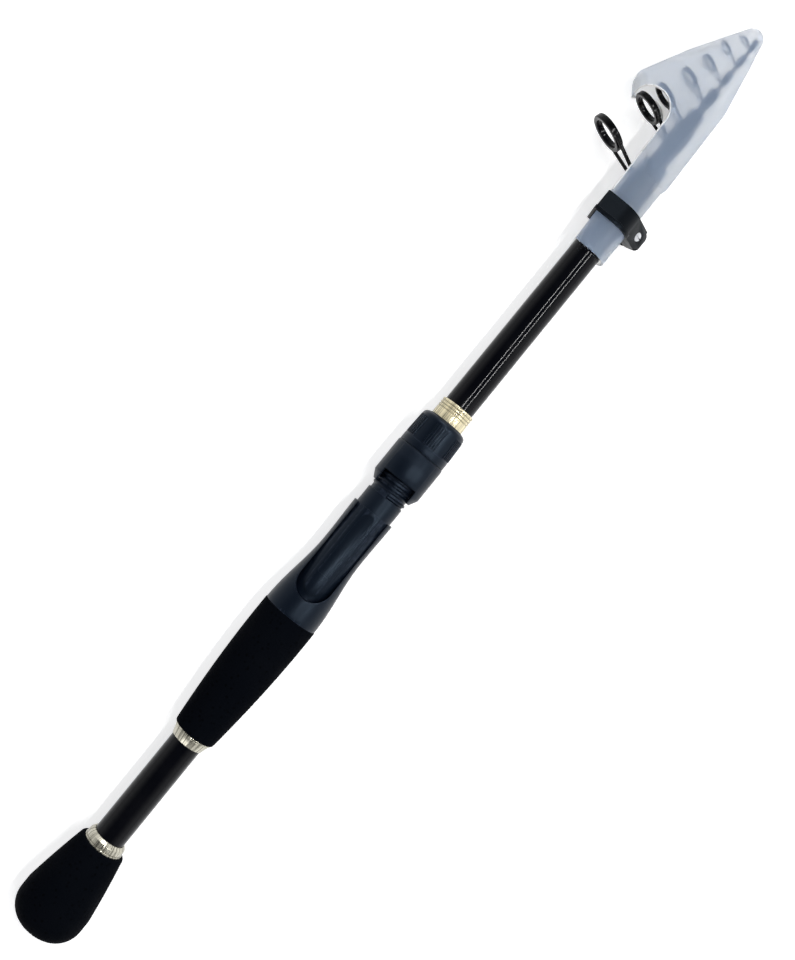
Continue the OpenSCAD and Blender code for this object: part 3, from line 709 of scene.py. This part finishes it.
def finish(name):
    """The named finish, made on first use."""
    made = bpy.data.materials.get(name)
    if made is not None:
        return made
    looks = bpy.context.scene.rod_finishes
    makers = {
        "closed_cell_foam": lambda: foam_finish(looks),
        "lacquered_blank": lambda: blank_finish(looks),
        "moulded_seat": lambda: moulded_finish(
            name, looks.seat, low=0.34, high=0.4, shine=0.2, grain_scale=1300.0, highlight_amount=0.9),
        "moulded_clamp": lambda: moulded_finish(
            name, looks.clamp, low=0.3, high=0.38, shine=0.1, grain_scale=1300.0, highlight_amount=0.8),
        "soft_rubber": lambda: moulded_finish(
            name, looks.rubber, low=0.7, high=0.85, shine=0.3, grain_scale=700.0, highlight_amount=0.2),
        "turned_champagne": lambda: metal_finish(name, looks.metal, mirror=0.45, low=0.26, high=0.36),
        "turned_silver": lambda: metal_finish(name, looks.silver, mirror=0.75, low=0.22, high=0.32),
        "plain_steel": lambda: metal_finish(name, looks.steel, mirror=0.6, low=0.2, high=0.34),
        "lacquered_frame": lambda: lacquer_finish(name, looks.guide, low=0.14, high=0.2),
        "polished_ceramic": lambda: lacquer_finish(name, looks.liner, low=0.12, high=0.18),
        "frosted_plastic": lambda: frosted_finish(looks),
        "frosted_bead": lambda: bead_finish(looks),
    }
    return makers[name]()


# Pieces


class ROD_OT_foam_grips(Operator):
    """Turns the foam butt knob and the foam grip"""

    bl_idname = "rod.foam_grips"
    bl_label = "Foam Grips"

    def knob_outline(self, shapes):
        """A dome, a straight land and a flank that narrows to the front, round a blind bore."""
        x0, x1 = span("butt_knob")
        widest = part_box("butt_knob")[1].z
        bore = end_radii("butt_knob", True)[0]
        slices = 12
        dome = []
        for i in range(slices + 1):
            t = math.pi / 2 * i / slices
            x = x0 + shapes.dome_length * (1 - math.cos(t))
            dome.append((x, shapes.dome_face + (widest - shapes.dome_face) * math.sin(t)))
        land = x0 + shapes.dome_length + shapes.land_length
        flank = arc(land, widest, x1, shapes.knob_front, shapes.knob_bow, slices=10)
        wall = x0 + shapes.knob_wall
        return [(x0, 0), *dome, *flank, (x1, bore), (wall, bore), (wall, 0)]

    def grip_outline(self, shapes):
        """A flank that swells from the rear to the crest and stays wide to the front."""
        x0, x1 = span("fore_grip")
        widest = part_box("fore_grip")[1].z
        bore = end_radii("fore_grip", True)[0]
        slices = 24
        fullness = 0.9
        flank = []
        for i in range(slices + 1):
            rise = math.sin(math.pi / 2 * i / slices) ** fullness
            x = x0 + shapes.grip_crest * i / slices
            flank.append((x, shapes.grip_rear + (widest - shapes.grip_rear) * rise))
        return [(x0, bore), *flank, (x1, widest), (x1, bore), (x0, bore)]

    def execute(self, context):
        shapes = context.scene.rod_shapes
        knob = turn("foam_knob", self.knob_outline(shapes), shapes.turn_steps)
        soften(knob, shapes.knob_soften, angle=35, segments=3)
        smooth(knob, angle=40)
        dress(knob, finish("closed_cell_foam"), "handle", "eva_foam", "butt_knob")

        grip = turn("foam_grip", self.grip_outline(shapes), shapes.turn_steps)
        soften(grip, shapes.grip_soften, angle=35, segments=3)
        smooth(grip, angle=40)
        dress(grip, finish("closed_cell_foam"), "handle", "eva_foam", "fore_grip")
        return {"FINISHED"}


class ROD_OT_blank_sections(Operator):
    """Turns the base tube, the four nested tubes and the solid tip of the blank"""

    bl_idname = "rod.blank_sections"
    bl_label = "Blank Sections"

    def outline(self, node):
        """A taper with a rounded front edge, closed on itself where the section is hollow."""
        x0, x1 = span(node)
        rear_in, rear_out = end_radii(node, False)
        front_in, front_out = end_radii(node, True)
        rounding = 0.12 * MM
        thinnest_bore = 0.1 * MM
        slices = 12
        outer = []
        for i in range(slices):
            t = i / slices
            outer.append((x0 + (x1 - x0) * t, rear_out + (front_out - rear_out) * t))
        front = [(x1 - rounding, front_out), (x1, front_out - rounding), (x1, front_in)]
        points = [(x0, rear_in), *outer, *front]
        if rear_in > thinnest_bore:
            points.append(points[0])
        return points

    def execute(self, context):
        shapes = context.scene.rod_shapes
        bodies = {
            "base_blank": "handle", "section_2": "second_section", "section_3": "third_section",
            "section_4": "fourth_section", "section_5": "fifth_section", "tip_section": "tip",
        }
        for node, body in bodies.items():
            tube = turn(node.replace("section", "tube") + "_skin", self.outline(node), shapes.turn_steps)
            smooth(tube)
            dress(tube, finish("lacquered_blank"), body, "gloss_blank", node)
        return {"FINISHED"}


class ROD_OT_metal_rings(Operator):
    """Turns the three pale metal rings"""

    bl_idname = "rod.metal_rings"
    bl_label = "Metal Rings"

    def butt_outline(self):
        """A collar, a fine groove, a waist and a flared front."""
        x0, x1 = span("butt_ring")
        bore, rear = end_radii("butt_ring", False)
        front = end_radii("butt_ring", True)[1]
        groove = rear - 0.3 * MM
        shoulder = rear - 0.12 * MM
        waist = rear - 0.35 * MM
        collar = [(x0, bore), (x0, rear), (x0 + 0.6 * MM, rear)]
        cut = [(x0 + 0.7 * MM, groove), (x0 + 1.0 * MM, groove), (x0 + 1.1 * MM, shoulder)]
        flare = [(x1 - 1.3 * MM, waist), (x1, front), (x1, bore), (x0, bore)]
        return [*collar, *cut, *flare]

    def grip_outline(self):
        """A cone, a fine groove and a lip at the front."""
        x0, x1 = span("grip_ring")
        bore, rear = end_radii("grip_ring", False)
        front = end_radii("grip_ring", True)[1]
        groove = front - 0.4 * MM
        cone = [(x0, bore), (x0, rear), (x1 - 1.1 * MM, front - 0.3 * MM)]
        cut = [(x1 - 1.0 * MM, groove), (x1 - 0.8 * MM, groove)]
        lip = [(x1 - 0.7 * MM, front), (x1, front), (x1, bore), (x0, bore)]
        return [*cone, *cut, *lip]

    def front_outline(self):
        """A cylinder with three grooves and a chamfer at the front."""
        x0, x1 = span("front_ring")
        bore, rear = end_radii("front_ring", False)
        chamfer = 0.3 * MM
        pitch = 1.3 * MM
        groove = rear - 0.28 * MM
        grooves = 3
        first = x1 - chamfer - grooves * pitch
        cuts = []
        for i in range(grooves):
            x = first + i * pitch
            cuts += [(x, rear), (x + 0.08 * MM, groove), (x + 0.42 * MM, groove), (x + 0.5 * MM, rear)]
        front = [(x1 - chamfer, rear), (x1, rear - chamfer), (x1, bore), (x0, bore)]
        return [(x0, bore), (x0, rear), *cuts, *front]

    def execute(self, context):
        shapes = context.scene.rod_shapes
        rings = {
            "butt_ring": (self.butt_outline(), "turned_silver"),
            "grip_ring": (self.grip_outline(), "turned_silver"),
            "front_ring": (self.front_outline(), "turned_champagne"),
        }
        for node, (outline, metal) in rings.items():
            ring = turn(node + "_turned", outline, shapes.turn_steps)
            soften(ring, shapes.metal_soften)
            smooth(ring, angle=25)
            dress(ring, finish(metal), "handle", "champagne_metal", node)
        return {"FINISHED"}


class ROD_OT_reel_seat(Operator):
    """Rounds the moulded reel seat and winds its thread"""

    bl_idname = "rod.reel_seat"
    bl_label = "Reel Seat"

    def execute(self, context):
        shapes = context.scene.rod_shapes
        start = shapes.thread_start
        seat = copy_solid("reel_seat_body", "reel_seat")
        edit_mode()
        bpy.ops.mesh.select_all(action="SELECT")
        bpy.ops.mesh.bisect(plane_co=(start, 0, 0), plane_no=(1, 0, 0), clear_outer=True, use_fill=True)
        object_mode()
        soften(seat, shapes.mould_soften, angle=28)
        smooth(seat, angle=30)
        dress(seat, finish("moulded_seat"), "handle", "seat_plastic", "reel_seat")

        end = span("reel_seat")[1]
        bore = end_radii("reel_seat", True)[0]
        root = shapes.thread_radius - shapes.thread_depth
        sleeve = [(start, bore), (start, root), (end, root), (end, bore), (start, bore)]
        core = turn("thread_core", sleeve, shapes.turn_steps)
        smooth(core)
        dress(core, finish("moulded_seat"), "handle", "seat_plastic")

        ridge = self.wind_thread(shapes, start, end, root)
        smooth(ridge)
        dress(ridge, finish("moulded_seat"), "handle", "seat_plastic")
        return {"FINISHED"}

    def wind_thread(self, shapes, start, end, root):
        """One ridge wound round the core from its rear to just short of its front."""
        pitch = shapes.thread_pitch
        crest = shapes.thread_radius
        sunk = root - 0.1 * MM
        crest_rear = start + 0.25 * pitch
        crest_front = start + 0.45 * pitch
        foot = start + 0.7 * pitch
        run_out = 0.8
        steps = 72
        rise = [(start, sunk), (start, root), (crest_rear, crest)]
        fall = [(crest_front, crest), (foot, root), (foot, sunk), (start, sunk)]
        ridge = draw_outline("thread_ridge", [*rise, *fall])
        bpy.ops.mesh.remove_doubles(threshold=WELD)
        object_mode()
        screw = ridge.modifiers.new("wind", "SCREW")
        screw.axis = "X"
        screw.angle = FULL_TURN
        screw.screw_offset = pitch
        screw.iterations = int((end - start) / pitch - run_out)
        screw.steps = steps
        screw.render_steps = steps
        bpy.ops.object.modifier_apply(modifier=screw.name)
        edit_mode()
        bpy.ops.mesh.select_all(action="DESELECT")
        bpy.ops.mesh.select_non_manifold()
        bpy.ops.mesh.fill_holes(sides=8)
        close_up()
        object_mode()
        return ridge


class ROD_OT_sliding_hood(Operator):
    """Rounds the moulded sliding hood"""

    bl_idname = "rod.sliding_hood"
    bl_label = "Sliding Hood"

    def execute(self, context):
        shapes = context.scene.rod_shapes
        hood = copy_solid("hood_shell", "sliding_hood")
        soften(hood, shapes.mould_soften, angle=28)
        smooth(hood, angle=30)
        dress(hood, finish("moulded_seat"), "hood", "seat_plastic", "sliding_hood")
        return {"FINISHED"}


class ROD_OT_hood_nut(Operator):
    """Turns the nut and sinks its groups of flutes"""

    bl_idname = "rod.hood_nut"
    bl_label = "Hood Nut"

    def execute(self, context):
        shapes = context.scene.rod_shapes
        x0, x1 = span("hood_nut")
        bore, rear = end_radii("hood_nut", False)
        front = rear - 0.5 * MM
        band = x0 + shapes.nut_band
        flute_start = band + 0.5 * MM
        flute_end = x1 - 2.6 * MM
        smooth_band = [(x0, bore), (x0, rear), (band - 0.25 * MM, rear), (band, rear - 0.12 * MM)]
        flank = [(flute_start, rear - 0.14 * MM), (flute_end, front), (x1 - 1.9 * MM, front)]
        nose = [(x1 - 1.1 * MM, front - 0.25 * MM), (x1 - 0.45 * MM, front - 0.75 * MM)]
        outline = [*smooth_band, *flank, *nose, (x1, front - 1.7 * MM), (x1, bore), (x0, bore)]
        # The groups share the columns of faces, and every other column in the first part of each is a flute
        steps = 120
        nut = turn("fluted_nut", outline, steps)
        choose("FACE")
        inside = front - 0.3 * MM
        self.select_flutes(nut, shapes, steps, inside, flute_start, flute_end)
        edit_mode()
        bpy.ops.mesh.inset(thickness=0.05 * MM, depth=-shapes.flute_depth, use_even_offset=True)
        object_mode()
        soften(nut, shapes.nut_soften, angle=34)
        smooth(nut, angle=34)
        dress(nut, finish("moulded_seat"), "nut", "seat_plastic", "hood_nut")
        return {"FINISHED"}

    def select_flutes(self, nut, shapes, steps, inside, flute_start, flute_end):
        """Selects the faces to sink, with the middle of one group on top of the nut."""
        per_group = steps // shapes.flute_groups
        top = steps // 4
        for face in nut.data.polygons:
            middle = face.center
            outside = math.hypot(middle.y, middle.z) > inside
            on_flank = flute_start < middle.x < flute_end
            column = int((math.atan2(middle.z, middle.y) % FULL_TURN) / FULL_TURN * steps)
            place = (column - top + shapes.flutes - 1) % per_group
            face.select = outside and on_flank and place % 2 == 0 and place < 2 * shapes.flutes


class ROD_OT_line_guides(Operator):
    """Rounds the folded line guides and polishes their liners"""

    bl_idname = "rod.line_guides"
    bl_label = "Line Guides"

    def execute(self, context):
        shapes = context.scene.rod_shapes
        bodies = {
            "guide_1": "second_section", "guide_2": "third_section", "guide_3": "fourth_section",
            "guide_4": "fifth_section", "guide_5": "rear_float", "guide_6": "front_float", "tip_top": "tip",
        }
        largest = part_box("guide_1_liner")[1].z
        for name, body in bodies.items():
            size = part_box(name + "_liner")[1].z / largest
            wire = copy_solid(name + "_wire", name + "_frame")
            soften(wire, shapes.guide_soften * size, angle=32)
            smooth(wire, angle=34)
            dress(wire, finish("lacquered_frame"), body, "black_frame", name + "_frame")
            liner = copy_solid(name + "_ceramic", name + "_liner")
            smooth(liner, angle=40)
            dress(liner, finish("polished_ceramic"), body, "ring_ceramic", name + "_liner")
        return {"FINISHED"}


class ROD_OT_tip_cap(Operator):
    """Rounds the frosted cap and runs a bead along its slot and mouth"""

    bl_idname = "rod.tip_cap"
    bl_label = "Tip Cap"

    def execute(self, context):
        shapes = context.scene.rod_shapes
        cap = copy_solid("frosted_shell", "tip_cap")
        soften(cap, shapes.cap_soften, angle=42, segments=3)
        smooth(cap, angle=40)
        dress(cap, finish("frosted_plastic"), "cap", "frosted_cap", "tip_cap")
        bead = self.run_bead(shapes)
        dress(bead, finish("frosted_bead"), "cap", "frosted_cap")
        return {"FINISHED"}

    def run_bead(self, shapes):
        """A round bead along the edges of the slot and the mouth, in front of the clamp."""
        bead = copy_solid("frosted_rim", "tip_cap")
        clear_of_clamp = span("clamp_band")[1] + MM
        square_on = 0.001 * MM
        edit_mode()
        bpy.ops.mesh.select_all(action="SELECT")
        bpy.ops.mesh.bisect(plane_co=(clear_of_clamp, 0, 0), plane_no=(1, 0, 0), clear_inner=True)
        bpy.ops.mesh.select_mode(type="EDGE")
        bpy.ops.mesh.select_all(action="DESELECT")
        bpy.ops.mesh.edges_select_sharp(sharpness=math.radians(60))
        object_mode()
        corners = bead.data.vertices
        for edge in bead.data.edges:
            first, last = (corners[i].co.x for i in edge.vertices)
            edge.select = edge.select and abs(first - last) > square_on
        edit_mode()
        bpy.ops.mesh.select_all(action="INVERT")
        bpy.ops.mesh.delete(type="EDGE_FACE")
        bpy.ops.mesh.select_all(action="SELECT")
        bpy.ops.mesh.delete_loose(use_verts=True, use_edges=False, use_faces=False)
        object_mode()
        bpy.ops.object.convert(target="CURVE")
        bead = bpy.context.object
        bead.data.bevel_depth = shapes.bead
        bead.data.bevel_resolution = 2
        bead.data.use_fill_caps = True
        bpy.ops.object.convert(target="MESH")
        bead = bpy.context.object
        edit_mode()
        close_up()
        object_mode()
        smooth(bead, angle=50)
        return bead


class ROD_OT_cap_clamp(Operator):
    """Rounds the clamp round the cap and polishes its screw and nut"""

    bl_idname = "rod.cap_clamp"
    bl_label = "Cap Clamp"

    def round_ears(self, band, shapes):
        """Rounds the outer corners of the two ears, as seen along the screw."""
        outward = Vector((0, -math.cos(shapes.ear_drop), -math.sin(shapes.ear_drop)))
        vertices = band.data.vertices
        slack = 0.05 * MM
        square_on = 0.01 * MM
        far = max(outward.dot(v.co) for v in vertices) - slack
        choose("EDGE")
        for edge in band.data.edges:
            start, end = (vertices[i].co for i in edge.vertices)
            at_end = min(outward.dot(start), outward.dot(end)) > far
            edge.select = at_end and abs(start.x - end.x) < square_on
        edit_mode()
        bpy.ops.mesh.bevel(offset=shapes.ear_round, segments=5, affect="EDGES")
        object_mode()

    def execute(self, context):
        shapes = context.scene.rod_shapes
        band = copy_solid("clamp_strap", "clamp_band")
        self.round_ears(band, shapes)
        soften(band, shapes.mould_soften)
        smooth(band)
        dress(band, finish("moulded_clamp"), "clamp", "dark_plastic", "clamp_band")

        screw = copy_solid("clamp_bolt", "clamp_screw")
        soften(screw, shapes.screw_soften)
        smooth(screw, angle=30)
        dress(screw, finish("plain_steel"), "screw", "bright_steel", "clamp_screw")

        plate = copy_solid("clamp_square", "clamp_nut")
        soften(plate, shapes.plate_soften)
        smooth(plate, angle=30)
        dress(plate, finish("plain_steel"), "clamp", "bright_steel", "clamp_nut")
        return {"FINISHED"}


class ROD_OT_hidden_stops(Operator):
    """Gives the plug and the pad inside the base tube their finish"""

    bl_idname = "rod.hidden_stops"
    bl_label = "Hidden Stops"

    def execute(self, context):
        for node in ("butt_plug", "butt_pad"):
            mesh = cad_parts[node].data
            mesh.materials.clear()
            mesh.materials.append(finish("soft_rubber"))
        return {"FINISHED"}


class ROD_OT_stage(Operator):
    """Lays the floor, hangs the lamps and the backdrop, and sets the camera"""

    bl_idname = "rod.stage"
    bl_label = "Stage"

    def execute(self, context):
        scene = context.scene
        stage = scene.rod_stage
        scene.view_settings.view_transform = "Standard"
        self.lay_floor(stage)
        self.hang_lamps(stage)
        self.hang_backdrop(scene, stage)
        self.set_camera(scene, stage)
        return {"FINISHED"}

    def seen_rays(self, tree):
        """One for what is seen straight, mirrored or through plastic, and nothing for other light."""
        path = add(tree, "ShaderNodeLightPath")
        mirrored = maths(tree, "MAXIMUM", path.outputs["Is Glossy Ray"], path.outputs["Is Transmission Ray"])
        return maths(tree, "MAXIMUM", path.outputs["Is Camera Ray"], mirrored)

    def lay_floor(self, stage):
        """A pale floor under the rod that keeps its shadow and whitens with distance."""
        ground = CAD_BOX[0][2]
        start_clean()
        bpy.ops.mesh.primitive_plane_add(size=stage.floor_side, location=(0, 0, 0))
        floor = bpy.context.object
        floor.name = "floor"
        edit_mode()
        bpy.ops.transform.translate(value=(stage.camera_x, 0, ground))
        object_mode()
        material, tree, shader = start_material(
            "pale_floor", Base_Color=opaque(stage.floor_tint), Roughness=0.9, Specular_IOR_Level=0.0,
            Emission_Color=opaque(WHITE))
        distance = add(tree, "ShaderNodeVectorMath", operation="LENGTH")
        feed(distance.inputs[0], object_place(tree))
        near = stage.clear_reach
        far = 3 * near
        glow = blend_range(tree, distance.outputs["Value"], near, far, stage.floor_glow, 1.0)
        seen = self.seen_rays(tree)
        feed(shader.inputs["Emission Strength"], times(tree, seen, glow))
        floor.data.materials.append(material)

    def hang_lamps(self, stage):
        """A broad lamp at each end of the rod, and two strips for the bright lines on the blank."""
        middle = stage.camera_x
        broad = (2.4, 2.4)
        self.lamp("key", (4.4, 0.5, 2.6), middle, broad, stage.key_power)
        self.lamp("fill", (-4.0, 0.5, 2.6), middle, broad, stage.fill_power)
        over_blank = 0.38
        strip = (0.6, 0.02)
        self.lamp("near_strip", (over_blank, -0.24, 0.95), over_blank, strip, stage.strip_power)
        self.lamp("far_strip", (over_blank, -0.66, 0.75), over_blank, strip, stage.strip_power)

    def lamp(self, name, place, station, size, watts):
        """An area lamp that points at a station of the rod."""
        light = bpy.data.lights.new(name, "AREA")
        light.shape = "RECTANGLE"
        light.size, light.size_y = size
        light.energy = watts
        lamp = bpy.data.objects.new(name, light)
        bpy.context.scene.collection.objects.link(lamp)
        lamp.location = place
        aim = Vector((station, 0, 0)) - Vector(place)
        lamp.rotation_euler = aim.to_track_quat("-Z", "Y").to_euler()

    def hang_backdrop(self, scene, stage):
        """White where it is seen, darker overhead for the mirrored light, and dim as a source of light."""
        world = bpy.data.worlds.new("studio")
        scene.world = world
        world.use_nodes = True
        tree = world.node_tree
        background = tree.nodes["Background"]
        seen = self.seen_rays(tree)
        upward = axes(tree, add(tree, "ShaderNodeTexCoord").outputs["Generated"])["Z"]
        # Even a low view sees nothing above the lower of these heights
        ceiling_from = 0.37
        ceiling_to = 0.85
        backdrop = blend_range(tree, upward, ceiling_from, ceiling_to, 1.0, stage.ceiling)
        extra = times(tree, seen, maths(tree, "SUBTRACT", backdrop, stage.sky))
        feed(background.inputs["Strength"], maths(tree, "ADD", extra, stage.sky))
        feed(background.inputs["Color"], mix_colours(tree, seen, stage.sky_tint, WHITE))

    def set_camera(self, scene, stage):
        """A camera straight above the rod."""
        eye = bpy.data.cameras.new("camera")
        eye.lens = stage.camera_lens
        eye.sensor_width = 36
        eye.clip_start = 0.01
        camera = bpy.data.objects.new("camera", eye)
        scene.collection.objects.link(camera)
        camera.location = (stage.camera_x, stage.camera_y, stage.camera_height)
        camera.rotation_euler = (0, 0, stage.camera_turn)
        scene.camera = camera


class ROD_PT_pieces(Panel):
    """Lists the pieces of the rod and their settings"""

    bl_label = "Telescopic Rod"
    bl_idname = "ROD_PT_pieces"
    bl_space_type = "VIEW_3D"
    bl_region_type = "UI"
    bl_category = "Rod"

    def draw(self, context):
        layout = self.layout
        for piece in PIECES:
            layout.operator(piece.bl_idname)
        scene = context.scene
        for settings in (scene.rod_shapes, scene.rod_finishes, scene.rod_stage):
            box = layout.box()
            for key in settings.__annotations__:
                box.prop(settings, key)


PIECES = (
    ROD_OT_stage,
    ROD_OT_foam_grips,
    ROD_OT_blank_sections,
    ROD_OT_metal_rings,
    ROD_OT_reel_seat,
    ROD_OT_sliding_hood,
    ROD_OT_hood_nut,
    ROD_OT_line_guides,
    ROD_OT_tip_cap,
    ROD_OT_cap_clamp,
    ROD_OT_hidden_stops,
)
CLASSES = (RodShapes, RodFinishes, RodStage, *PIECES, ROD_PT_pieces)


def register():
    for item in CLASSES:
        bpy.utils.register_class(item)
    bpy.types.Scene.rod_shapes = PointerProperty(type=RodShapes)
    bpy.types.Scene.rod_finishes = PointerProperty(type=RodFinishes)
    bpy.types.Scene.rod_stage = PointerProperty(type=RodStage)


def unregister():
    del bpy.types.Scene.rod_stage
    del bpy.types.Scene.rod_finishes
    del bpy.types.Scene.rod_shapes
    for item in reversed(CLASSES):
        bpy.utils.unregister_class(item)


def main():
    register()
    bpy.ops.rod.stage()
    bpy.ops.rod.foam_grips()
    bpy.ops.rod.blank_sections()
    bpy.ops.rod.metal_rings()
    bpy.ops.rod.reel_seat()
    bpy.ops.rod.sliding_hood()
    bpy.ops.rod.hood_nut()
    bpy.ops.rod.line_guides()
    bpy.ops.rod.tip_cap()
    bpy.ops.rod.cap_clamp()
    bpy.ops.rod.hidden_stops()


if __name__ == "__main__":
    main()
